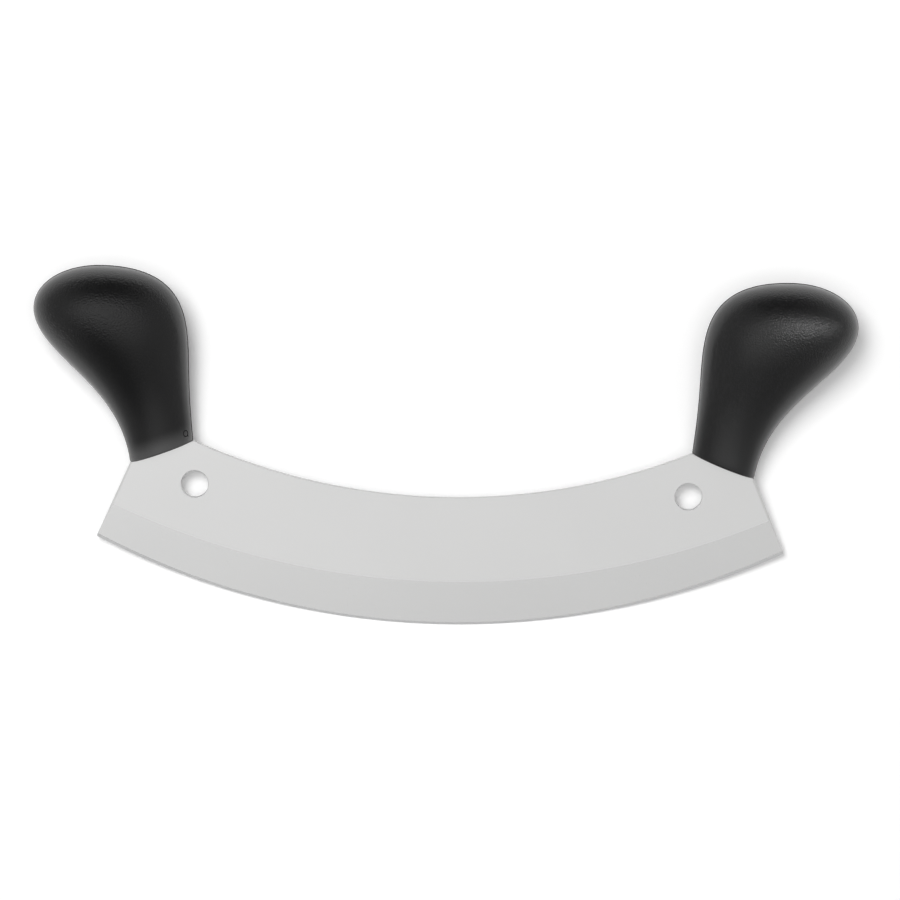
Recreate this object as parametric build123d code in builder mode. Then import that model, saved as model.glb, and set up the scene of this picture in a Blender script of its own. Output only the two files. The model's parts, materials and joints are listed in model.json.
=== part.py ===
from build123d import *
from math import asin, atan2, cos, degrees, pi, radians, sin, sqrt, tan
import os

# Mezzaluna: a crescent chopping blade with a knob handle moulded onto the tang at each end.
# Sizes are in millimetres and degrees. The knife lies on a table with its cutting edge
# towards -Y and its knobs towards +Y, so it rests on its edge and on the bellies of both
# knobs. Places on the knife are given in the plane of the blade: the first number runs along
# the blade from its middle, the second up from the lowest point of the cutting edge.

# Blade outline
blade_length = 230.0
blade_depth = 43.2
blade_thickness = 2.0
edge_radius = 258.0
end_length = 27.5
end_slope = 23.4

# Grinding: a wide bevel below the grind line, then the narrow sharpened bevel at the edge
grind_depth = 14.6
grind_end_depth = 12.4
ground_thickness = 0.5
edge_angle = 18.0
edge_flat = 0.1

# Both ends of the blank are broken along their long edges before grinding
end_break_width = 0.7
end_break_depth = 0.35

# Hanging holes, placed from the middle of the handle's foot
hang_hole_diameter = 9.0
hang_hole_inset = 11.2
hang_hole_drop = 10.6
hang_hole_break = 0.2

# Tang inside each handle, with the key holes that the plastic fills
tang_width = 13.0
tang_length = 38.0
key_hole_diameter = 6.0
key_hole_setback = 11.0
key_hole_pitch = 14.0
key_hole_count = 2

# Handle
neck_width = 22.4
neck_slope = 20.6
neck_thickness = 16.0
foot_round = 0.5
knob_width = 51.6
knob_thickness = 30.0
knob_overhang = 32.6
handle_height = 61.6

# Sides of the handle seen from the front. Each is one curve from the foot to the crown, drawn
# by corner points that pull it: shares of the knob's width from its inner side, and of the
# handle's height above the middle of its foot.
inner_side_shares = [(0.004, 0.40), (0.038, 0.57), (-0.16, 1.0)]
outer_side_shares = [(0.48, 0.548), (1.278, 0.491), (1.158, 1.0)]
crown_share = 0.564
knob_share = 0.58
oval_count = 14
belly_steps = 100

cut_overrun = 2.0


def arc_rise(radius, reach):
    """How far an arc has climbed above its lowest point, this far from its middle."""
    return radius - sqrt(radius**2 - reach**2)


def mirrored(point, side):
    return Vector(point.X * side, point.Y)


# Corners of the right half of the blade, the axis of its tang and its hanging hole
corner = Vector(blade_length / 2, arc_rise(edge_radius, blade_length / 2))
heel = corner + Vector(-sin(radians(end_slope)), cos(radians(end_slope))) * end_length
root = heel - Vector(cos(radians(neck_slope)), -sin(radians(neck_slope))) * neck_width
foot = (heel + root) / 2
tang_line = Vector(sin(radians(neck_slope)), cos(radians(neck_slope)))
hang_hole = foot - Vector(hang_hole_inset, hang_hole_drop)

# Sides of the right handle
knob_inside = heel.X + knob_overhang - knob_width
crown = Vector(knob_inside + crown_share * knob_width, foot.Y + handle_height)


def side_curve(start, shares):
    """One side of the handle, from a corner of its foot to the crown."""
    pulls = [(knob_inside + x * knob_width, foot.Y + y * handle_height) for x, y in shares]
    return Bezier(start, *pulls, crown, mode=Mode.PRIVATE)


inner_side = side_curve(root, inner_side_shares)
outer_side = side_curve(heel, outer_side_shares)


def oval_width(share):
    """The width of the oval that joins the two sides, this share of the way up each."""
    return (outer_side @ share - inner_side @ share).length


# The handle is oval all the way up, and flatter at the knob than at the neck
neck_flatness = neck_thickness / neck_width
knob_flatness = knob_thickness / oval_width(knob_share)


def oval_thickness(share):
    fade = (1 + cos(pi * min(share / knob_share, 1))) / 2
    return oval_width(share) * (knob_flatness + (neck_flatness - knob_flatness) * fade)


# The ovals stand closer together towards the crown, where the knob closes
oval_shares = [sin(pi / 2 * step / oval_count) for step in range(oval_count)]

# Slopes of the two bevels, and the shoulder between them that touches the table
wide_slope = (blade_thickness - ground_thickness) / 2 / grind_depth
edge_slope = tan(radians(edge_angle))
shoulder_height = (ground_thickness - edge_flat) / 2 / (edge_slope - wide_slope)
shoulder_half = edge_flat / 2 + shoulder_height * edge_slope


def belly_angle(share):
    """The slope of a line that touches the bevel's shoulder and the belly of this oval."""
    middle = (inner_side @ share + outer_side @ share) / 2
    return degrees(atan2(oval_thickness(share) / 2 - shoulder_half, middle.Y - shoulder_height))


# The blade leans back until both knobs and its bevel touch the table
lean = max(belly_angle(step / belly_steps) for step in range(belly_steps))
back = -crown.Y * cos(radians(lean)) / 2
lift = shoulder_half * cos(radians(lean)) - shoulder_height * sin(radians(lean))
square_to_blade = (0, -sin(radians(lean)), cos(radians(lean)))
blade_plane = Plane(origin=(0, back, lift), x_dir=(1, 0, 0), z_dir=square_to_blade)
across_plane = Plane(blade_plane.origin, x_dir=blade_plane.z_dir, z_dir=-blade_plane.x_dir)


def turning_axis(height):
    """An axis square to the blade, above the middle of its edge."""
    return Axis(blade_plane.from_local_coords((0, height, 0)), blade_plane.z_dir)


def bevel_wedge(side, edge_half, slope):
    """Section of the steel that grinding one side of the blade to this slope takes away."""
    outside = blade_thickness / 2 + cut_overrun
    with BuildSketch(across_plane) as wedge:
        with BuildLine():
            Polyline(
                (side * (edge_half - slope * cut_overrun), -cut_overrun),
                (side * outside, (outside - edge_half) / slope),
                (side * outside, -cut_overrun),
                close=True,
            )
        make_face()
    return wedge.sketch


# The grind line is an arc through its depths at the middle and the corners of the blade
corner_angle = asin(corner.X / edge_radius)
grind_end_radius = edge_radius - grind_end_depth
grind_reach = grind_end_radius * sin(corner_angle)
grind_rise = edge_radius - grind_end_radius * cos(corner_angle) - grind_depth
grind_radius = (grind_reach**2 + grind_rise**2) / (2 * grind_rise)

# Blade: a flat blank with its two tangs and holes, then ground
with BuildPart() as blade:
    with BuildSketch(blade_plane):
        with BuildLine():
            ThreePointArc(mirrored(corner, -1), (0, 0), corner)
            Polyline(corner, heel, root)
            ThreePointArc(root, (0, blade_depth), mirrored(root, -1))
            Polyline(mirrored(root, -1), mirrored(heel, -1), mirrored(corner, -1))
        make_face()
        # the lower round end of each tang is lost in the blade
        tang_middle = foot + tang_line * (tang_length - tang_width / 2) / 2
        for side in (1, -1):
            with Locations(Location(mirrored(tang_middle, side), 90 - side * neck_slope)):
                SlotOverall(tang_length + tang_width / 2, tang_width)
            for hole in range(key_hole_count):
                key_hole = foot + tang_line * (key_hole_setback + hole * key_hole_pitch)
                with Locations(mirrored(key_hole, side)):
                    Circle(key_hole_diameter / 2, mode=Mode.SUBTRACT)
    extrude(amount=blade_thickness / 2, both=True)
    for side in (1, -1):
        end_middle = blade_plane.from_local_coords(mirrored((corner + heel) / 2, side))
        end = blade.faces().sort_by_distance(end_middle)[0]
        long_edges = end.edges().sort_by(SortBy.LENGTH)[-2:]
        chamfer(long_edges, end_break_depth, end_break_width, reference=end)
    with BuildSketch(blade_plane):
        with Locations(hang_hole, mirrored(hang_hole, -1)):
            Circle(hang_hole_diameter / 2)
    extrude(amount=blade_thickness, both=True, mode=Mode.SUBTRACT)
    chamfer(blade.edges(Select.LAST).filter_by(GeomType.CIRCLE), hang_hole_break)
    for side in (1, -1):
        wide_bevel = bevel_wedge(side, ground_thickness / 2, wide_slope)
        revolve(wide_bevel, axis=turning_axis(grind_depth + grind_radius), mode=Mode.SUBTRACT)
        edge_bevel = bevel_wedge(side, edge_flat / 2, edge_slope)
        revolve(edge_bevel, axis=turning_axis(edge_radius), mode=Mode.SUBTRACT)

# Right handle: ovals from side to side, closed at the crown and moulded over the tang
ovals = []
for share in oval_shares:
    inner = blade_plane.from_local_coords(inner_side @ share)
    outer = blade_plane.from_local_coords(outer_side @ share)
    width_line = outer - inner
    oval_plane = Plane((inner + outer) / 2, x_dir=width_line, z_dir=blade_plane.z_dir.cross(width_line))
    with BuildSketch(oval_plane) as oval:
        Ellipse(oval_width(share) / 2, oval_thickness(share) / 2)
    ovals.append(oval.sketch)

with BuildPart() as right_handle:
    loft(sections=[*ovals, Vertex(*blade_plane.from_local_coords(crown))])
    fillet(right_handle.faces().filter_by(GeomType.PLANE).edges(), foot_round)
    add(blade.part, mode=Mode.SUBTRACT)

# Left handle: the same moulding in mirror image
with BuildPart() as left_handle:
    mirror(right_handle.part, about=Plane.YZ)

os.makedirs("parts", exist_ok=True)
pieces = {"blade": blade, "right_handle": right_handle, "left_handle": left_handle}
for name, piece in pieces.items():
    piece.part.label = name
    export_step(piece.part, f"parts/{name}.step")

# What the sizes give
hole_middle = blade_plane.from_local_coords(hang_hole)
handle_box = right_handle.part.bounding_box()
print(f"the blade leans {lean:.2f} degrees, its hanging holes are {2 * hang_hole.X:.1f} apart")
print(f"right hanging hole at {hole_middle.X:.3f}, {hole_middle.Y:.3f}, {hole_middle.Z:.3f}")
print(f"over both knobs {2 * handle_box.max.X:.1f}, from edge to crown {crown.Y:.1f}")
print(f"the lowest point of the knobs is at {handle_box.min.Z:.3f}")
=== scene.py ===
# %% [markdown]
# This lesson dresses a mezzaluna for its picture. A mezzaluna is a curved chopping blade that
# two hands rock to and fro over herbs, with an upright knob at each end of the blade. The
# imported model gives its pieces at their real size: one steel blade and two black handles
# moulded onto its tangs. Blender adds what that model leaves plain: fine round rims, the
# sheen of ground steel, the seam and the grain of moulded plastic, and studio light.
# Everything is in metres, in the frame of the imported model, so nothing is fitted afterwards.

# %% Load the frame
import json
from bisect import bisect_left
from math import asin, atan2, cos, degrees, hypot, pi, radians, sin, tan

import bmesh
import bpy
from mathutils import Matrix, Vector
from mathutils.bvhtree import BVHTree

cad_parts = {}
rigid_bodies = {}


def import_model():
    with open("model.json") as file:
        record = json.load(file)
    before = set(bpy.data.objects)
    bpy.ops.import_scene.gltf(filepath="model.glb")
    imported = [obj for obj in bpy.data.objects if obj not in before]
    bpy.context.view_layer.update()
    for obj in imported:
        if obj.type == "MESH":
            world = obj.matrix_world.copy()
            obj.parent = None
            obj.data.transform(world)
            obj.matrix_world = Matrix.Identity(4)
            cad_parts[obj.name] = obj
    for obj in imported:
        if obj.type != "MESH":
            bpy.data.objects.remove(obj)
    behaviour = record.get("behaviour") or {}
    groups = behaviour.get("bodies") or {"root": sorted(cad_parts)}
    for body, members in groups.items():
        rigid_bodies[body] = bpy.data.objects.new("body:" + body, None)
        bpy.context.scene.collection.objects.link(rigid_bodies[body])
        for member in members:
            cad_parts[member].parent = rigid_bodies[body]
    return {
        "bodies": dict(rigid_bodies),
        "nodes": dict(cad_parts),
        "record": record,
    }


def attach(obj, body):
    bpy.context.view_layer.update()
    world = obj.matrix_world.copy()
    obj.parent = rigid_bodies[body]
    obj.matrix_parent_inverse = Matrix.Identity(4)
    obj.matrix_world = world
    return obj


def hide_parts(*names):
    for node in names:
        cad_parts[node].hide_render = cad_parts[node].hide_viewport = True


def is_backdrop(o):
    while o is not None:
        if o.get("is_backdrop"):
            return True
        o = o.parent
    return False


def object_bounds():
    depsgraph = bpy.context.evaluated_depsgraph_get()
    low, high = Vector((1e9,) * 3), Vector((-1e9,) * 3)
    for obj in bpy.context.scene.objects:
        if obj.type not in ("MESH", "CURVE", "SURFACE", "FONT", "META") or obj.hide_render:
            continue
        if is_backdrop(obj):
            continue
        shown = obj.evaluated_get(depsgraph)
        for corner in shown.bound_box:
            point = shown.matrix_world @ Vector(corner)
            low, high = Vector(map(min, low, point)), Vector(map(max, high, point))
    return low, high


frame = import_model()
cad_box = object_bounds()
print("nodes:", ", ".join(sorted(frame["nodes"])))
print("the knife is", [round(high - low, 4) for low, high in zip(*cad_box)], "metres")

# %% [markdown]
# The knife lies on a table. It rests on its cutting edge and on the bellies of both knobs, so
# the blade leans back by a few degrees. It is far easier to draw a crescent flat and to lean it
# afterwards. So every piece is first made in the plane of the blade, where x runs along the
# blade, y runs up from the lowest point of the edge, and z stands square to the steel. The
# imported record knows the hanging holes, with their places and the direction of their axes.
# One such hole is enough to find how that plane lies in the frame.

# %% Sizes of the blade
blade_length = 0.2300
blade_depth = 0.0432
blade_thickness = 0.0020
edge_radius = 0.2580
end_length = 0.0275
end_slope = radians(23.4)
neck_width = 0.0224
neck_slope = radians(20.6)
hang_hole_inset = 0.0112
hang_hole_drop = 0.0106

corner_angle = asin(blade_length / 2 / edge_radius)
corner = Vector((blade_length / 2, edge_radius * (1 - cos(corner_angle)), 0))
heel = corner + Vector((-sin(end_slope), cos(end_slope), 0)) * end_length
foot_line = Vector((cos(neck_slope), -sin(neck_slope), 0))
tang_line = Vector((sin(neck_slope), cos(neck_slope), 0))
root = heel - foot_line * neck_width
foot = (heel + root) / 2
hang_hole = foot - Vector((hang_hole_inset, hang_hole_drop, 0))
print("corner", corner.to_tuple(4), "heel", heel.to_tuple(4), "root", root.to_tuple(4))

# %% The plane of the blade
mounts = {mount["name"]: mount for mount in frame["record"]["mounts"]}
right_hole = mounts["hang_hole_right"]
square_to_blade = Vector(right_hole["axis"]).normalized()
along_blade = Vector((1, 0, 0))
up_blade = square_to_blade.cross(along_blade)
lean = atan2(up_blade.z, up_blade.y)
edge_point = Vector(right_hole["pos_m"]) - along_blade * hang_hole.x - up_blade * hang_hole.y
leaning = Matrix.Translation(edge_point) @ Matrix.Rotation(lean, 4, "X")
print(f"the blade leans {degrees(lean):.2f} degrees, its edge touches down at", edge_point.to_tuple(4))

# %% [markdown]
# The blade is stamped from sheet. Its outline is two arcs joined by straight ends, with a tang
# that runs up into each handle. The outline could be typed as a list of points, but a pen is
# shorter and can be read: a vertex that is extruded to the next corner draws a straight line,
# and a vertex that is spun about a centre draws an arc. Only the right half is drawn, and a
# mirror adds the left half. Circles for the holes lie inside, and one fill makes the sheet.

# %% A pen for outlines
edge_steps = 120
upper_steps = 90
tang_steps = 24
hole_steps = 96
merge_gap = 1e-7


def line_to(bm, pen, place):
    """Draws a straight line from the pen and returns the pen's new vertex."""
    drawn = bmesh.ops.extrude_vert_indiv(bm, verts=[pen])
    drawn["verts"][0].co = place
    return drawn["verts"][0]


def arc_to(bm, pen, centre, angle, steps):
    """Draws an arc from the pen about a centre, anticlockwise where the angle is positive."""
    drawn = bmesh.ops.spin(bm, geom=[pen], cent=centre, axis=(0, 0, 1), angle=angle, steps=steps)
    return next(item for item in drawn["geom_last"] if isinstance(item, bmesh.types.BMVert))


print("the cutting edge takes", edge_steps, "steps a side and each hole", hole_steps)

# %% Draw the blank
tang_width = 0.0130
tang_length = 0.0380
key_hole_radius = 0.0030
key_hole_setback = 0.0110
key_hole_pitch = 0.0140
key_hole_count = 2
hang_hole_radius = right_hole["dims"]["r_mm"] / 1000
upper_radius = (root.x**2 + (root.y - blade_depth) ** 2) / (2 * (root.y - blade_depth))
upper_centre = Vector((0, blade_depth + upper_radius, 0))
tang_top = foot + tang_line * (tang_length - tang_width / 2)


def draw_blank():
    """The sheet of the blade in its own plane, with all its holes."""
    bm = bmesh.new()
    pen = bm.verts.new((0, 0, 0))
    pen = arc_to(bm, pen, (0, edge_radius, 0), corner_angle, edge_steps)
    pen = line_to(bm, pen, heel)
    pen = line_to(bm, pen, foot + foot_line * tang_width / 2)
    pen = line_to(bm, pen, tang_top + foot_line * tang_width / 2)
    pen = arc_to(bm, pen, tang_top, pi, tang_steps)
    pen = line_to(bm, pen, foot - foot_line * tang_width / 2)
    pen = line_to(bm, pen, root)
    arc_to(bm, pen, upper_centre, -asin(root.x / upper_radius), upper_steps)
    holes = [(hang_hole, hang_hole_radius)]
    for hole in range(key_hole_count):
        holes.append((foot + tang_line * (key_hole_setback + hole * key_hole_pitch), key_hole_radius))
    for place, radius in holes:
        where = Matrix.Translation(place)
        bmesh.ops.create_circle(bm, segments=hole_steps, radius=radius, matrix=where)
    half = bm.verts[:] + bm.edges[:]
    bmesh.ops.mirror(bm, geom=half, axis="X", merge_dist=merge_gap)
    bmesh.ops.remove_doubles(bm, verts=bm.verts[:], dist=merge_gap)
    bmesh.ops.triangle_fill(bm, use_beauty=True, edges=bm.edges[:], normal=(0, 0, 1))
    return bm


blank = draw_blank()
blank_area = sum(face.calc_area() for face in blank.faces)
print("the blank has", len(blank.faces), "faces and", round(blank_area * 1e4, 1), "square centimetres")

# %% [markdown]
# A stamped blank is tumbled, which rounds its rims. Light catches on that round rim, so a
# perfectly sharp one looks like a drawing. A bevel would do it, but it dislikes the long thin
# triangles of a filled sheet. An inset never does: each inset moves in a little and rises a
# little, and a few of them follow a quarter circle. The open border is then drawn down to the
# middle of the steel, and a mirror makes the other face.

# %% Give the blank its thickness and round rims
rim_round = 0.0002
rim_steps = 3


def thicken(bm):
    """Turns the flat sheet into a closed slab with rounded rims."""
    flat = bm.faces[:]
    border = [edge for edge in bm.edges if edge.is_boundary]
    drawn = bmesh.ops.extrude_edge_only(bm, edges=border)
    walls = {item for item in drawn["geom"] if isinstance(item, bmesh.types.BMVert)}
    lifted = [vert for vert in bm.verts if vert not in walls]
    bmesh.ops.translate(bm, vec=(0, 0, blade_thickness / 2 - rim_round), verts=lifted)
    for step in range(rim_steps):
        turn = pi / 2 * step / rim_steps
        turned = pi / 2 * (step + 1) / rim_steps
        bmesh.ops.inset_region(
            bm,
            faces=flat,
            thickness=rim_round * (cos(turn) - cos(turned)),
            depth=rim_round * (sin(turned) - sin(turn)),
            use_even_offset=True,
            use_boundary=True,
        )
    upper = bm.verts[:] + bm.edges[:] + bm.faces[:]
    bmesh.ops.mirror(bm, geom=upper, axis="Z", merge_dist=merge_gap)
    bmesh.ops.remove_doubles(bm, verts=bm.verts[:], dist=merge_gap)
    bmesh.ops.recalc_face_normals(bm, faces=bm.faces[:])


thicken(blank)
open_edges = sum(not edge.is_manifold for edge in blank.edges)
heights = [vert.co.z for vert in blank.verts]
print("open edges", open_edges, "thickness", round(max(heights) - min(heights), 5))

# %% Make objects from bmeshes
body = next(iter(frame["bodies"]))


def finished(name, bm):
    """Puts a bmesh into a new object at the origin of the scene."""
    mesh = bpy.data.meshes.new(name)
    bm.to_mesh(mesh)
    bm.free()
    piece = bpy.data.objects.new(name, mesh)
    bpy.context.scene.collection.objects.link(piece)
    return piece


print("all pieces belong to the body", body)

# %% [markdown]
# The blade is ground after stamping. A wide bevel thins it below a curved grind line, and a
# narrow steep bevel sharpens it. On the real machine the wheel follows the curve of the blade,
# so here too each cutter is a wedge that is spun about the centre of its curve. Taking these
# cutters away with a Boolean gives the grind line exactly where the two surfaces meet, as
# grinding does. The two ends were dressed too: a low chamfer runs from the heel down past the
# grind line, until the wide bevel has removed it.

# %% Cutters for grinding
grind_depth = 0.0146
grind_end_depth = 0.0124
ground_thickness = 0.0005
edge_angle = radians(18.0)
edge_flat = 0.0001
end_break_width = 0.0007
end_break_depth = 0.00035
overrun = 0.0020
cutter_margin = radians(3.0)
cutter_steps = 240

wide_slope = (blade_thickness - ground_thickness) / 2 / grind_depth
wide_angle = atan2(wide_slope, 1)
grind_end_radius = edge_radius - grind_end_depth
grind_reach = grind_end_radius * sin(corner_angle)
grind_rise = edge_radius - grind_end_radius * cos(corner_angle) - grind_depth
grind_radius = (grind_reach**2 + grind_rise**2) / (2 * grind_rise)


def spun_wedge(side, edge_half, slope, height):
    """A wedge that grinds one face to this slope, spun about a centre at this height."""
    outside = blade_thickness / 2 + overrun
    section = [
        (-overrun, side * (edge_half - slope * overrun)),
        ((outside - edge_half) / slope, side * outside),
        (-overrun, side * outside),
    ]
    half_angle = corner_angle + cutter_margin
    bm = bmesh.new()
    corners = [bm.verts.new((0, y, z)) for y, z in section]
    bm.faces.new(corners)
    centre = Vector((0, height, 0))
    start = Matrix.Rotation(-half_angle, 4, "Z")
    bmesh.ops.rotate(bm, verts=bm.verts[:], cent=centre, matrix=start)
    bmesh.ops.spin(
        bm,
        geom=bm.verts[:] + bm.edges[:] + bm.faces[:],
        cent=centre,
        axis=(0, 0, 1),
        angle=2 * half_angle,
        steps=cutter_steps,
    )
    bmesh.ops.remove_doubles(bm, verts=bm.verts[:], dist=merge_gap)
    bmesh.ops.recalc_face_normals(bm, faces=bm.faces[:])
    return finished("cutter", bm)


def end_prism(side, face):
    """A three-sided bar that chamfers the rim of one end of the blade on one face."""
    out = Vector((cos(end_slope), sin(end_slope), 0))
    up = Vector((0, 0, 1))
    run = (heel - corner).normalized()
    rim = corner - run * overrun + up * blade_thickness / 2
    on_face = rim - out * end_break_width
    on_wall = rim - up * end_break_depth
    ramp = on_wall - on_face
    bm = bmesh.new()
    for place in (on_face - ramp, on_wall + ramp, rim + (out + up) * overrun):
        bm.verts.new(place)
    base = bm.faces.new(bm.verts[:])
    drawn = bmesh.ops.extrude_face_region(bm, geom=[base], use_keep_orig=True)
    moved = [item for item in drawn["geom"] if isinstance(item, bmesh.types.BMVert)]
    bmesh.ops.translate(bm, vec=run * (end_length + overrun), verts=moved)
    bmesh.ops.scale(bm, vec=(side, 1, face), verts=bm.verts[:])
    bmesh.ops.recalc_face_normals(bm, faces=bm.faces[:])
    return finished("cutter", bm)


print(f"the wide bevel slopes {degrees(wide_angle):.1f} degrees, below an arc of radius {grind_radius:.3f}")

# %% Grind the blade
cutters = []
for side in (1, -1):
    cutters.append(spun_wedge(side, ground_thickness / 2, wide_slope, grind_depth + grind_radius))
    cutters.append(spun_wedge(side, edge_flat / 2, tan(edge_angle), edge_radius))
    for face in (1, -1):
        cutters.append(end_prism(side, face))


def cut_away(piece, tools):
    """Takes each tool away from the piece for good, and deletes the tools."""
    for tool in tools:
        cut = piece.modifiers.new("cut", "BOOLEAN")
        cut.operation = "DIFFERENCE"
        cut.solver = "EXACT"
        cut.object = tool
    settled = bpy.context.evaluated_depsgraph_get()
    mesh = bpy.data.meshes.new_from_object(piece.evaluated_get(settled))
    piece.modifiers.clear()
    piece.data = mesh
    for tool in tools:
        bpy.data.objects.remove(tool)


blade = finished("blade_ground", blank)
cut_away(blade, cutters)
print("the ground blade has", len(blade.data.polygons), "faces")

# %% [markdown]
# The three ground surfaces of a blade never look alike, because each had its own wheel. So the
# faces are sorted by how far they tilt: the flats lie square to z, the wide bevel tilts by
# three degrees, the sharpened bevel by eighteen, and what is left are rims and walls. The grind
# line is only visible while its two sides are shaded apart, so edges are kept sharp there, and
# only the walls of holes and rims are smoothed.

# %% Sort the faces of the blade
blade_finishes = ("flat", "bevel", "edge", "rim")
rim_finish = blade_finishes.index("rim")
edge_leeway = 1.2
tilt_limits = (wide_angle / 2, (wide_angle + edge_angle) / 2, edge_angle * edge_leeway)
smooth_limit = radians(32)
flat_limit = radians(1.0)


def sort_faces(piece):
    """Gives each face its finish by its tilt, and marks the edges to be shaded sharp."""
    bm = bmesh.new()
    bm.from_mesh(piece.data)
    bmesh.ops.remove_doubles(bm, verts=bm.verts[:], dist=merge_gap)
    bmesh.ops.recalc_face_normals(bm, faces=bm.faces[:])
    for face in bm.faces:
        tilt = Vector((0, 0, 1)).angle(Vector((*face.normal.xy, abs(face.normal.z))))
        face.material_index = bisect_left(tilt_limits, tilt)
        face.smooth = True
    for edge in bm.edges:
        between_rims = all(face.material_index == rim_finish for face in edge.link_faces)
        limit = smooth_limit if between_rims else flat_limit
        edge.smooth = edge.calc_face_angle(pi) < limit
    indices = [face.material_index for face in bm.faces]
    counts = {finish: indices.count(index) for index, finish in enumerate(blade_finishes)}
    open_edges = sum(not edge.is_manifold for edge in bm.edges)
    bmesh.ops.transform(bm, matrix=leaning, verts=bm.verts[:])
    bm.to_mesh(piece.data)
    bm.free()
    return counts, open_edges


print("faces of each finish, then open edges:", *sort_faces(blade))
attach(blade, body)
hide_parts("blade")

# %% [markdown]
# Each handle is a knob on a neck. From the front, its two sides are two free curves that leave
# the corners of the foot and meet at the crown. From the side it swells from a flat neck to a
# round knob. The real mould was cut that way: ovals that slide up between two curves. So the
# mesh starts as one circle, squeezed to the oval of the foot, and each extrusion carries the
# ring to the next oval. A curve of five points pulled by its middle three is worked out by
# sliding between neighbours again and again until one point is left.

# %% Sides of the handle
neck_thickness = 0.0160
knob_width = 0.0516
knob_thickness = 0.0300
knob_overhang = 0.0326
handle_height = 0.0616
inner_side_shares = [(0.004, 0.40), (0.038, 0.57), (-0.16, 1.0)]
outer_side_shares = [(0.48, 0.548), (1.278, 0.491), (1.158, 1.0)]
crown_share = 0.564
knob_share = 0.58
length_steps = 600

knob_inside = heel.x + knob_overhang - knob_width
crown = Vector((knob_inside + crown_share * knob_width, foot.y + handle_height, 0))


def pulled_curve(points, share):
    """The point at this share of a curve that its middle points pull."""
    while len(points) > 1:
        points = [a.lerp(b, share) for a, b in zip(points, points[1:])]
    return points[0]


def even_side(start, shares):
    """One side of the handle, as points and the share of its length at which each lies."""
    pulls = [Vector((knob_inside + x * knob_width, foot.y + y * handle_height, 0)) for x, y in shares]
    steps = [step / length_steps for step in range(length_steps + 1)]
    points = [pulled_curve([start, *pulls, crown], share) for share in steps]
    lengths = [0.0]
    for a, b in zip(points, points[1:]):
        lengths.append(lengths[-1] + (b - a).length)
    return points, [length / lengths[-1] for length in lengths]


def point_on(side, share):
    """The point of a side at this share of its length."""
    points, shares = side
    after = min(max(bisect_left(shares, share), 1), length_steps)
    part = (share - shares[after - 1]) / (shares[after] - shares[after - 1])
    return points[after - 1].lerp(points[after], part)


inner_side = even_side(root, inner_side_shares)
outer_side = even_side(heel, outer_side_shares)
print("the crown is at", crown.to_tuple(4), "and the foot at", foot.to_tuple(4))

# %% Ovals of the handle
neck_flatness = neck_thickness / neck_width
knob_line = point_on(outer_side, knob_share) - point_on(inner_side, knob_share)
knob_flatness = knob_thickness / knob_line.length


def oval_place(share, inset=0.0):
    """A matrix that turns the unit circle into the oval at this share of the sides."""
    inner = point_on(inner_side, share)
    outer = point_on(outer_side, share)
    width = (outer - inner).length
    fade = (1 + cos(pi * min(share / knob_share, 1))) / 2
    thickness = width * (knob_flatness + (neck_flatness - knob_flatness) * fade)
    across = (outer - inner) / width
    square = Vector((0, 0, 1))
    rows = Matrix((across * (width / 2 - inset), square * (thickness / 2 - inset), across.cross(square)))
    return Matrix.Translation((inner + outer) / 2) @ rows.transposed().to_4x4()


print("width and thickness of the neck and the knob:")
for share in (0.0, knob_share):
    print("  ", [round(2 * column.length, 4) for column in oval_place(share).to_3x3().col[:2]])

# %% [markdown]
# The foot of the handle has a tiny round rim, and the two halves of the mould leave a thin
# raised seam all the way round the edge of the handle. A seam painted on would vanish from the
# side, so it is modelled: the edges along the middle plane are bevelled into two narrow strips,
# and the line between them is lifted by a fifth of a millimetre. The body of the handle is
# held in by a little more than that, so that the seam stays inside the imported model. Only near
# the crown, where the rings close, does the body grow back to its full size.

# %% Draw a handle
ring_steps = 128
handle_rings = 76
foot_round = 0.0005
foot_steps = 4
seam_height = 0.00018
seam_clearance = 0.00003
body_inset = seam_height + seam_clearance
inset_hold = 8


def next_ring(bm, rim, change):
    """Extrudes a ring of edges and moves the new ring by a matrix."""
    drawn = bmesh.ops.extrude_edge_only(bm, edges=rim)["geom"]
    verts = [item for item in drawn if isinstance(item, bmesh.types.BMVert)]
    ring = set(verts)
    bmesh.ops.transform(bm, matrix=change, verts=verts)
    edges = [item for item in drawn if isinstance(item, bmesh.types.BMEdge)]
    return verts, [edge for edge in edges if set(edge.verts) <= ring]


def draw_handle():
    """The right handle in the plane of the blade, closed at its foot and its crown."""
    places = []
    for step in range(foot_steps):
        turn = pi / 2 * step / foot_steps
        rise = foot_round * (1 - cos(turn)) / handle_height
        places.append(oval_place(rise, body_inset + foot_round * (1 - sin(turn))))
    first_share = foot_round / handle_height
    for step in range(handle_rings):
        share = first_share + (1 - first_share) * sin(pi / 2 * step / handle_rings)
        places.append(oval_place(share, body_inset * (1 - share**inset_hold)))
    bm = bmesh.new()
    bmesh.ops.create_circle(bm, cap_ends=True, segments=ring_steps, radius=1)
    bmesh.ops.transform(bm, matrix=places[0], verts=bm.verts[:])
    rim = bm.edges[:]
    for before, after in zip(places, places[1:]):
        _, rim = next_ring(bm, rim, after @ before.inverted())
    tip, _ = next_ring(bm, rim, Matrix.Identity(4))
    bmesh.ops.pointmerge(bm, verts=tip, merge_co=crown)
    bmesh.ops.recalc_face_normals(bm, faces=bm.faces[:])
    return bm


print("a handle takes", foot_steps + handle_rings, "rings of", ring_steps, "corners")

# %% Raise the seam
seam_width = 0.00050
body_finish, seam_finish = range(2)


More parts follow.
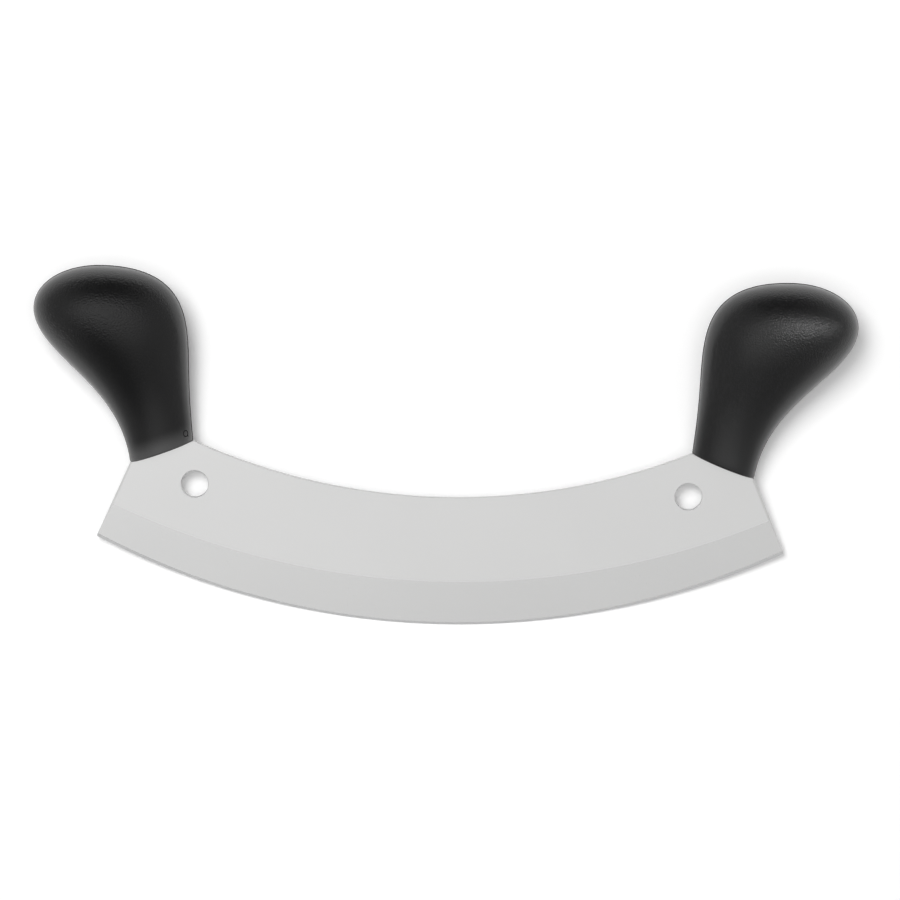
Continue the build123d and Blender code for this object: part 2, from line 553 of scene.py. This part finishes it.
def raise_seam(bm):
    """Raises the seam of the mould along the middle plane and gives it a finish of its own."""

    def in_seam(edge):
        on_plane = all(abs(vert.co.z) < merge_gap for vert in edge.verts)
        return on_plane and all(len(face.verts) < ring_steps for face in edge.link_faces)

    seam_edges = [edge for edge in bm.edges if in_seam(edge)]
    bmesh.ops.bevel(
        bm,
        geom=seam_edges,
        offset=seam_width / 2,
        segments=2,
        profile=0.5,
        affect="EDGES",
        material=-1,
    )
    bm.normal_update()
    crest = {vert for vert in bm.verts if abs(vert.co.z) < merge_gap}
    for vert in crest:
        vert.co += vert.normal * seam_height
    for face in bm.faces:
        in_strip = len(face.verts) <= 4 and len(crest.intersection(face.verts)) == 2
        face.material_index = seam_finish if in_strip else body_finish
    return len(seam_edges)


def smooth_all(bm, limit):
    """Shades a mesh smooth, apart from the edges that turn by more than the limit."""
    for face in bm.faces:
        face.smooth = True
    for edge in bm.edges:
        edge.smooth = edge.calc_face_angle(pi) < limit


print(f"the seam is {seam_width * 1000:.2f} mm wide and {seam_height * 1000:.2f} mm high")

# %% Both handles
handles = {}
for name, side in (("right_handle", 1), ("left_handle", -1)):
    bm = draw_handle()
    seam_edges = raise_seam(bm)
    bmesh.ops.scale(bm, vec=(side, 1, 1), verts=bm.verts[:])
    bmesh.ops.recalc_face_normals(bm, faces=bm.faces[:])
    smooth_all(bm, smooth_limit)
    bmesh.ops.transform(bm, matrix=leaning, verts=bm.verts[:])
    handle = finished(name + "_moulded", bm)
    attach(handle, body)
    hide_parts(name)
    handles[name] = handle
    print(name, "has", len(handle.data.polygons), "faces and", seam_edges, "seam edges")

# %% [markdown]
# A pin of the mould ended on the inner side of the left neck and left a fine round groove. It
# could be drawn into the rings of the handle, but it is finer than they are. So a thin ring is
# laid on the skin and taken away from it. The skin is curved there, and the nearest point of
# the mesh gives the ring its place and its tilt. The faces are shaded again after the cut.

# %% A ring for the mark of the pin
pin_radius = 0.0010
groove_width = 0.00030
groove_sides = 12
groove_steps = 48


def ring_cutter(place, axis):
    """A thin ring round an axis."""
    bm = bmesh.new()
    bmesh.ops.create_circle(bm, segments=groove_sides, radius=groove_width / 2)
    upright = Matrix.Translation((pin_radius, 0, 0)) @ Matrix.Rotation(pi / 2, 4, "X")
    bmesh.ops.transform(bm, matrix=upright, verts=bm.verts[:])
    bmesh.ops.spin(
        bm,
        geom=bm.verts[:] + bm.edges[:],
        cent=(0, 0, 0),
        axis=(0, 0, 1),
        angle=2 * pi,
        steps=groove_steps,
    )
    bmesh.ops.remove_doubles(bm, verts=bm.verts[:], dist=merge_gap)
    bmesh.ops.recalc_face_normals(bm, faces=bm.faces[:])
    aimed = Vector((0, 0, 1)).rotation_difference(axis).to_matrix().to_4x4()
    bmesh.ops.transform(bm, matrix=Matrix.Translation(place) @ aimed, verts=bm.verts[:])
    return finished("cutter", bm)


def off_ring(point, place, axis):
    """How far a point lies from the middle line of the ring."""
    rise = (point - place).dot(axis)
    out = (point - place - axis * rise).length
    return hypot(out - pin_radius, rise)


print(f"the groove is {groove_width * 1000:.2f} mm wide and {2 * pin_radius * 1000:.1f} mm across")

# %% Mark the left handle
pin_near = Vector((-0.0855, 0.0630, 0.0042))


def mark_pin(piece):
    """Cuts the groove into the skin of a piece, and gives it the finish of the seam."""
    bm = bmesh.new()
    bm.from_mesh(piece.data)
    place, axis, _, _ = BVHTree.FromBMesh(bm).find_nearest(leaning @ pin_near)
    bm.free()
    cut_away(piece, [ring_cutter(place, axis)])
    bm = bmesh.new()
    bm.from_mesh(piece.data)
    reach = groove_width / 2 + merge_gap
    groove = [face for face in bm.faces if off_ring(face.calc_center_median(), place, axis) < reach]
    for face in groove:
        face.material_index = seam_finish
    smooth_all(bm, smooth_limit)
    open_edges = sum(not edge.is_manifold for edge in bm.edges)
    print("the groove is at", place.to_tuple(4), "with", len(groove), "faces")
    print("open edges of the marked handle:", open_edges)
    bm.to_mesh(piece.data)
    bm.free()


mark_pin(handles["left_handle"])

# %% [markdown]
# Now the finishes. Steel shows its grinding as fine parallel scratches, and plastic shows the
# spark-eroded grain of its mould. Both are noise at different sizes, stretched or not, so one
# node group makes such a grain and each material uses it with its own values.

# %% A group for grain
half = 0.5


def new_group(name, inputs, outputs):
    """A shader node group with named float or vector sockets."""
    group = bpy.data.node_groups.new(name, "ShaderNodeTree")
    for label, kind, value in inputs:
        socket = group.interface.new_socket(label, in_out="INPUT", socket_type=kind)
        if value is not None:
            socket.default_value = value
    for label, kind in outputs:
        group.interface.new_socket(label, in_out="OUTPUT", socket_type=kind)
    return group, group.nodes.new("NodeGroupInput"), group.nodes.new("NodeGroupOutput")


def grain_group():
    """Noise of one size on given coordinates, as a value that swings about one half."""
    inputs = [("Vector", "NodeSocketVector", None), ("Fineness", "NodeSocketFloat", 1000.0)]
    inputs += [("Detail", "NodeSocketFloat", 2.0), ("Contrast", "NodeSocketFloat", 1.0)]
    group, given, result = new_group("Grain", inputs, [("Value", "NodeSocketFloat")])
    noise = group.nodes.new("ShaderNodeTexNoise")
    centred = group.nodes.new("ShaderNodeMath")
    centred.operation = "SUBTRACT"
    centred.inputs[1].default_value = half
    spread = group.nodes.new("ShaderNodeMath")
    spread.operation = "MULTIPLY_ADD"
    spread.inputs[2].default_value = half
    spread.use_clamp = True
    links = group.links
    links.new(given.outputs["Vector"], noise.inputs["Vector"])
    links.new(given.outputs["Fineness"], noise.inputs["Scale"])
    links.new(given.outputs["Detail"], noise.inputs["Detail"])
    links.new(noise.outputs["Fac"], centred.inputs[0])
    links.new(centred.outputs[0], spread.inputs[0])
    links.new(given.outputs["Contrast"], spread.inputs[1])
    links.new(spread.outputs[0], result.inputs["Value"])
    return group


grain = grain_group()
print("made the group", grain.name)

# %% Helpers for numbers and colours


def add_grain(tree, vector, fineness, detail, contrast):
    """Places the grain group in a material, with its own values."""
    node = tree.nodes.new("ShaderNodeGroup")
    node.node_tree = grain
    node.inputs["Fineness"].default_value = fineness
    node.inputs["Detail"].default_value = detail
    node.inputs["Contrast"].default_value = contrast
    tree.links.new(vector, node.inputs["Vector"])
    return node.outputs["Value"]


def add_math(tree, operation, *values):
    """Works out one number from up to three, each of them a socket or a plain number."""
    node = tree.nodes.new("ShaderNodeMath")
    node.operation = operation
    for socket, value in zip(node.inputs, values):
        if isinstance(value, bpy.types.NodeSocket):
            tree.links.new(value, socket)
        else:
            socket.default_value = value
    return node.outputs[0]


def add_range(tree, value, low, high):
    """Maps a value from nought to one onto another range."""
    node = tree.nodes.new("ShaderNodeMapRange")
    node.inputs["To Min"].default_value = low
    node.inputs["To Max"].default_value = high
    tree.links.new(value, node.inputs["Value"])
    return node.outputs["Result"]


def add_fade(tree, value, start, end, low, high):
    """Passes softly from one number to another while a value crosses a range."""
    node = tree.nodes.new("ShaderNodeMapRange")
    node.interpolation_type = "SMOOTHSTEP"
    node.inputs["From Min"].default_value = start
    node.inputs["From Max"].default_value = end
    node.inputs["To Min"].default_value = low
    node.inputs["To Max"].default_value = high
    tree.links.new(value, node.inputs["Value"])
    return node.outputs["Result"]


def add_tint(tree, value, dark, light):
    """Mixes two colours by a value."""
    node = tree.nodes.new("ShaderNodeMix")
    node.data_type = "RGBA"
    node.inputs["A"].default_value = (*dark, 1)
    node.inputs["B"].default_value = (*light, 1)
    tree.links.new(value, node.inputs["Factor"])
    return node.outputs["Result"]


def grey(level):
    """A colour of three equal parts."""
    return (level, level, level)


print("black is", grey(0.0), "and white is", grey(1.0))

# %% Helpers for surfaces


def new_material(name):
    """A material with one shader, and the tree in which its nodes are placed."""
    material = bpy.data.materials.new(name)
    material.use_nodes = True
    tree = material.node_tree
    tree.nodes.clear()
    surface = tree.nodes.new("ShaderNodeBsdfPrincipled")
    output = tree.nodes.new("ShaderNodeOutputMaterial")
    tree.links.new(surface.outputs[0], output.inputs["Surface"])
    return material, tree, surface


def dress(piece, materials):
    """Gives a piece its finishes, without losing which face has which."""
    finishes = [face.material_index for face in piece.data.polygons]
    piece.data.materials.clear()
    for material in materials:
        piece.data.materials.append(material)
    piece.data.polygons.foreach_set("material_index", finishes)
    piece.data.update()
    for index, material in enumerate(materials):
        print(piece.name, "has", finishes.count(index), "faces of", material.name)


def add_bump(tree, height, depth, under=None):
    """Raises a surface by a value, this deep in metres, on top of another bump if there is one."""
    node = tree.nodes.new("ShaderNodeBump")
    node.inputs["Distance"].default_value = depth
    tree.links.new(height, node.inputs["Height"])
    if under is not None:
        tree.links.new(under, node.inputs["Normal"])
    return node.outputs["Normal"]


def blade_coordinates(tree, stretch=(1, 1, 1)):
    """Object coordinates turned into the plane of the blade, then stretched."""
    place = tree.nodes.new("ShaderNodeTexCoord")
    turn = tree.nodes.new("ShaderNodeMapping")
    turn.vector_type = "TEXTURE"
    turn.inputs["Location"].default_value = edge_point
    turn.inputs["Rotation"].default_value = (lean, 0, 0)
    scale = tree.nodes.new("ShaderNodeMapping")
    scale.inputs["Scale"].default_value = stretch
    tree.links.new(place.outputs["Object"], turn.inputs["Vector"])
    tree.links.new(turn.outputs["Vector"], scale.inputs["Vector"])
    return scale.outputs["Vector"]


print(f"patterns lie in the plane of the blade, turned by {degrees(lean):.2f} degrees")

# %% [markdown]
# The flats of the blade are finished along it, while both bevels are ground across it, so the
# scratches run in two directions. Anisotropic gloss could stand in for them, but real scratches
# also break up a highlight. So stretched noise drives the gloss and a very shallow bump. The
# narrow edge and the tumbled rims are dull, and a share of plain grey keeps them from turning
# black where they face the dark walls of the room. Very faint clouds break the even tone.

# %% Steel finishes
cloud_fineness = 28.0
cloud_shade = 0.965
gloss_swing = 0.04


def steel(name, colour, roughness, stretch, fineness, depth, metallic=1.0):
    """Ground stainless steel, its scratches drawn out by the stretch."""
    material, tree, surface = new_material(name)
    scratched = blade_coordinates(tree, stretch)
    scratches = add_grain(tree, scratched, fineness, detail=3.0, contrast=1.4)
    clouds = add_grain(tree, blade_coordinates(tree), cloud_fineness, detail=2.0, contrast=1.2)
    dark = [value * cloud_shade for value in colour]
    gloss = add_range(tree, scratches, roughness - gloss_swing, roughness + gloss_swing)
    tree.links.new(add_tint(tree, clouds, dark, colour), surface.inputs["Base Color"])
    tree.links.new(gloss, surface.inputs["Roughness"])
    tree.links.new(add_bump(tree, scratches, depth), surface.inputs["Normal"])
    surface.inputs["Metallic"].default_value = metallic
    return material


steels = [
    steel("satin_flat", (0.80, 0.80, 0.795), 0.30, (1, 14, 1), 900.0, 0.000002),
    steel("ground_bevel", (0.772, 0.772, 0.768), 0.25, (14, 1, 1), 900.0, 0.000003),
    steel("sharpened_edge", (0.84, 0.84, 0.84), 0.80, (20, 1, 1), 1200.0, 0.000003, metallic=0.65),
    steel("tumbled_rim", (0.80, 0.80, 0.795), 0.55, (1, 1, 1), 1600.0, 0.000002, metallic=0.5),
]
dress(blade, steels)

# %% [markdown]
# The mould was spark-eroded, and the plastic copied its fine pits. The grain shows on the
# front of the knobs, and the necks and the sides look smooth, so it fades out towards the neck
# and towards the seam. The neck is a little duller than the knob. The foot of the left handle
# is painted a lighter grey, a painted highlight where light falls on the foot. A picture of
# such painted light would have to be fitted to the shape. Two measured distances do it
# instead: how far up from the foot a place lies, and how far it lies off the plane of the blade.

# %% Distances on a handle


def above_foot(tree):
    """How far up from the foot of its handle a place lies, and how far off the blade's plane."""
    apart = tree.nodes.new("ShaderNodeSeparateXYZ")
    joined = tree.nodes.new("ShaderNodeCombineXYZ")
    above = tree.nodes.new("ShaderNodeVectorMath")
    above.operation = "SUBTRACT"
    above.inputs[1].default_value = foot
    along = tree.nodes.new("ShaderNodeVectorMath")
    along.operation = "DOT_PRODUCT"
    along.inputs[1].default_value = tang_line
    tree.links.new(blade_coordinates(tree), apart.inputs["Vector"])
    tree.links.new(add_math(tree, "ABSOLUTE", apart.outputs["X"]), joined.inputs["X"])
    tree.links.new(apart.outputs["Y"], joined.inputs["Y"])
    tree.links.new(joined.outputs["Vector"], above.inputs[0])
    tree.links.new(above.outputs["Vector"], along.inputs[0])
    return along.outputs["Value"], add_math(tree, "ABSOLUTE", apart.outputs["Z"])


print("heights on a handle start at", foot.to_tuple(4))

# %% Moulded plastic
foot_light_fade = 0.007
dull_fade = 0.026
grain_fade = (0.038, 0.050)
front_fade = (0.004, 0.011)
least_grain = 0.15
skin_roughness = (0.28, 0.32)
neck_dullness = 0.12
pebble_depth = 0.000012
mottle_depth = 0.00008
sheen = 0.08
fresh_black = (0.0028, 0.0028, 0.0030)
faded_black = (0.0048, 0.0048, 0.0051)
# The foot of the left handle is painted this much lighter grey: a painted highlight on the foot
painted_foot_light = 0.062


def plastic(name, foot_light_level):
    """Black plastic with the fine grain of a spark-eroded mould, and a painted highlight that greys its
    foot.
    """
    material, tree, surface = new_material(name)
    place = blade_coordinates(tree)
    height, off_plane = above_foot(tree)
    pebbles = add_grain(tree, place, 3200.0, detail=1.0, contrast=1.6)
    mottle = add_grain(tree, place, 1700.0, detail=1.0, contrast=2.0)
    wear = add_grain(tree, place, 60.0, detail=3.0, contrast=1.3)
    # Near the foot the colour is painted lighter: a painted highlight on the foot of the handle
    foot_light_mask = add_fade(tree, height, 0.0, foot_light_fade, 1.0, 0.0)
    shade = tree.nodes.new("ShaderNodeVectorMath")
    tree.links.new(add_tint(tree, wear, fresh_black, faded_black), shade.inputs[0])
    tree.links.new(add_tint(tree, foot_light_mask, grey(0.0), grey(foot_light_level)), shade.inputs[1])
    tree.links.new(shade.outputs["Vector"], surface.inputs["Base Color"])
    duller = add_fade(tree, height, 0.0, dull_fade, neck_dullness, 0.0)
    gloss = add_math(tree, "ADD", duller, add_range(tree, mottle, *skin_roughness))
    tree.links.new(gloss, surface.inputs["Roughness"])
    on_knob = add_fade(tree, height, *grain_fade, least_grain, 1.0)
    on_front = add_fade(tree, off_plane, *front_fade, least_grain, 1.0)
    grained = add_math(tree, "MULTIPLY", add_math(tree, "MULTIPLY", mottle, on_knob), on_front)
    fine = add_bump(tree, pebbles, pebble_depth)
    tree.links.new(add_bump(tree, grained, mottle_depth, under=fine), surface.inputs["Normal"])
    surface.inputs["Sheen Weight"].default_value = sheen
    return material


# The left handle gets the painted highlight on its foot, and the right one gets none
skins = {
    "right_handle": plastic("moulded_black", 0.0),
    "left_handle": plastic("black_with_painted_foot_light", painted_foot_light),
}
print("made", ", ".join(skin.name for skin in skins.values()))

# %% Trimmed seam
seam_blacks = (grey(0.0010), grey(0.0030))
seam_roughness = (0.55, 0.75)
seam_specular = 0.2


def dull_seam():
    """The trimmed seam, duller and darker than the moulded skin."""
    material, tree, surface = new_material("trimmed_seam")
    wear = add_grain(tree, blade_coordinates(tree), 400.0, detail=2.0, contrast=1.5)
    tree.links.new(add_tint(tree, wear, *seam_blacks), surface.inputs["Base Color"])
    tree.links.new(add_range(tree, wear, *seam_roughness), surface.inputs["Roughness"])
    surface.inputs["Specular IOR Level"].default_value = seam_specular
    return material


trimmed = dull_seam()
for name, handle in handles.items():
    dress(handle, [skins[name], trimmed])

# %% [markdown]
# The knife lies on a plain white floor. A floor that is white to all light would brighten the
# knife from below. So the camera and the mirror rays of the steel see white paper with a faint
# glow, and light that bounces off the floor sees a slightly greyer one without it. The floor
# keeps the whole shadow of the knife.

# %% Floor
floor_half = 3.0
floor_drop = 0.0001
paper_white = 1.0
floor_albedo = 0.8
floor_glow = 0.06


def white_for_camera(tree):
    """One for camera, mirror and glass rays, nought for the light that bounces about."""
    path = tree.nodes.new("ShaderNodeLightPath")
    seen = path.outputs["Is Camera Ray"]
    for other in ("Is Glossy Ray", "Is Transmission Ray"):
        seen = add_math(tree, "MAXIMUM", seen, path.outputs[other])
    return seen


def make_floor():
    """A white floor just below the knife, which is part of the stage."""
    bm = bmesh.new()
    bmesh.ops.create_grid(bm, x_segments=1, y_segments=1, size=floor_half)
    bmesh.ops.translate(bm, vec=(0, 0, -floor_drop), verts=bm.verts[:])
    floor = finished("floor", bm)
    material = bpy.data.materials.new("white_floor")
    material.use_nodes = True
    tree = material.node_tree
    tree.nodes.clear()
    output = tree.nodes.new("ShaderNodeOutputMaterial")
    matt = tree.nodes.new("ShaderNodeBsdfDiffuse")
    glow = tree.nodes.new("ShaderNodeEmission")
    both = tree.nodes.new("ShaderNodeAddShader")
    seen = white_for_camera(tree)
    paper = add_tint(tree, seen, grey(floor_albedo), grey(paper_white))
    tree.links.new(paper, matt.inputs["Color"])
    tree.links.new(add_range(tree, seen, 0.0, floor_glow), glow.inputs["Strength"])
    tree.links.new(matt.outputs[0], both.inputs[0])
    tree.links.new(glow.outputs[0], both.inputs[1])
    tree.links.new(both.outputs[0], output.inputs["Surface"])
    floor.data.materials.append(material)
    floor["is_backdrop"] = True


make_floor()
print("the floor is", 2 * floor_half, "metres wide")

# %% [markdown]
# Steel has hardly a colour of its own: it shows the room. A modelled room would work, but a
# world that depends on direction alone is lighter and has no walls in the way of the other
# views. It has a bright ceiling, a little brighter on the left, dimmer wings to the left and
# right, and dark walls before and behind, which draw the dark bands on the knobs. The camera
# itself sees plain white.

# %% Room
ceiling_strength = 1.20
wing_strength = 0.50
wall_strength = 0.06
ceiling_reach = (0.62, 0.46)
ceiling_middle = (0.02, -0.075)
ceiling_slant = 0.60
ceiling_edge = (0.78, 1.22)
wing_edge = (0.30, 0.72)
height_ignored = 1e6


def room_light(tree):
    """The strength of the room's light by direction."""
    place = tree.nodes.new("ShaderNodeTexCoord")
    spread = tree.nodes.new("ShaderNodeMapping")
    spread.vector_type = "TEXTURE"
    spread.inputs["Location"].default_value = (*ceiling_middle, 0)
    spread.inputs["Scale"].default_value = (*ceiling_reach, height_ignored)
    away = tree.nodes.new("ShaderNodeVectorMath")
    away.operation = "LENGTH"
    apart = tree.nodes.new("ShaderNodeSeparateXYZ")
    tree.links.new(place.outputs["Generated"], spread.inputs["Vector"])
    tree.links.new(spread.outputs["Vector"], away.inputs[0])
    tree.links.new(place.outputs["Generated"], apart.inputs["Vector"])
    aside = add_math(tree, "ABSOLUTE", apart.outputs["X"])
    wings = add_fade(tree, aside, *wing_edge, wall_strength, wing_strength)
    ceiling = add_fade(tree, away.outputs["Value"], *ceiling_edge, ceiling_strength, wall_strength)
    slant = add_math(tree, "MULTIPLY_ADD", apart.outputs["X"], -ceiling_slant, 1.0)
    return add_math(tree, "MAXIMUM", add_math(tree, "MULTIPLY", slant, ceiling), wings)


def make_room():
    """The world round the knife, which the camera sees as plain white."""
    world = bpy.data.worlds.new("room")
    world.use_nodes = True
    bpy.context.scene.world = world
    tree = world.node_tree
    tree.nodes.clear()
    light = tree.nodes.new("ShaderNodeBackground")
    seen = tree.nodes.new("ShaderNodeBackground")
    seen.inputs["Color"].default_value = (1, 1, 1, 1)
    path = tree.nodes.new("ShaderNodeLightPath")
    mix = tree.nodes.new("ShaderNodeMixShader")
    output = tree.nodes.new("ShaderNodeOutputWorld")
    tree.links.new(room_light(tree), light.inputs["Strength"])
    tree.links.new(path.outputs["Is Camera Ray"], mix.inputs["Fac"])
    tree.links.new(light.outputs[0], mix.inputs[1])
    tree.links.new(seen.outputs[0], mix.inputs[2])
    tree.links.new(mix.outputs[0], output.inputs["Surface"])


make_room()
print("ceiling, wings and walls:", ceiling_strength, wing_strength, wall_strength)

# %% [markdown]
# The room alone lights everything evenly. A softbox on the upper left gives the shadows their
# direction, and a broad one above softens them. Mirror rays don't see these two, so the steel
# stays even. In the picture the right knob has a long highlight and a lighter neck, which the
# left one lacks. A strip and a weak panel of light make them. On the steel they would show as
# bright patches, so both are linked to the right handle alone.

# %% Lamps


def softbox(name, place, aim, width, depth, power):
    """A flat lamp that faces a place on the knife."""
    data = bpy.data.lights.new(name, "AREA")
    data.shape = "RECTANGLE"
    data.size = width
    data.size_y = depth
    data.energy = power
    lamp = bpy.data.objects.new(name, data)
    lamp.location = place
    lamp.rotation_euler = (Vector(aim) - Vector(place)).to_track_quat("-Z", "Y").to_euler()
    bpy.context.scene.collection.objects.link(lamp)
    return lamp


key = softbox("key_lamp", (-0.32, 0.36, 1.28), (0, 0, 0.01), 0.55, 0.55, 9.2)
top = softbox("top_lamp", (0, 0, 1.30), (0, 0, 0), 1.0, 1.0, 3.3)
strip = softbox("strip_lamp", (0.37, 0.035, 0.50), (0.11, 0.045, 0.02), 0.05, 0.55, 1.08)
panel = softbox("glow_lamp", (0.25, -0.49, 0.47), (0.11, 0.03, 0.02), 0.50, 0.45, 0.15)
for lamp in (key, top):
    lamp.visible_glossy = False
right_knob = bpy.data.collections.new("right_knob")
right_knob.objects.link(handles["right_handle"])
for lamp in (strip, panel):
    lamp.visible_diffuse = False
    lamp.light_linking.receiver_collection = right_knob
print("lamps:", [lamp.name for lamp in (key, top, strip, panel)])

# %% [markdown]
# The camera looks straight down through a long lens, as product pictures of knives are taken,
# and it is turned a little, because the knife lies a little askew in the picture.

# %% Camera
camera_height = 1.20
picture_width = 0.3012
picture_middle = Vector((0.00246, 0.00024, 0.004))
picture_turn = radians(1.50)
sensor_width = 36.0

camera_data = bpy.data.cameras.new("camera")
camera_data.sensor_width = sensor_width
camera_data.lens = sensor_width * camera_height / picture_width
camera = bpy.data.objects.new("camera", camera_data)
camera.location = picture_middle + Vector((0, 0, camera_height))
camera.rotation_euler = (0, 0, picture_turn)
bpy.context.scene.collection.objects.link(camera)
bpy.context.scene.camera = camera
bpy.context.scene.view_settings.view_transform = "Standard"
print(f"the lens is {camera_data.lens:.1f} millimetres long")

# %% Sizes before and after dressing
dressed_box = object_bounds()
for name, box in (("packed", cad_box), ("dressed", dressed_box)):
    print(name, [[round(value, 5) for value in corner] for corner in box])
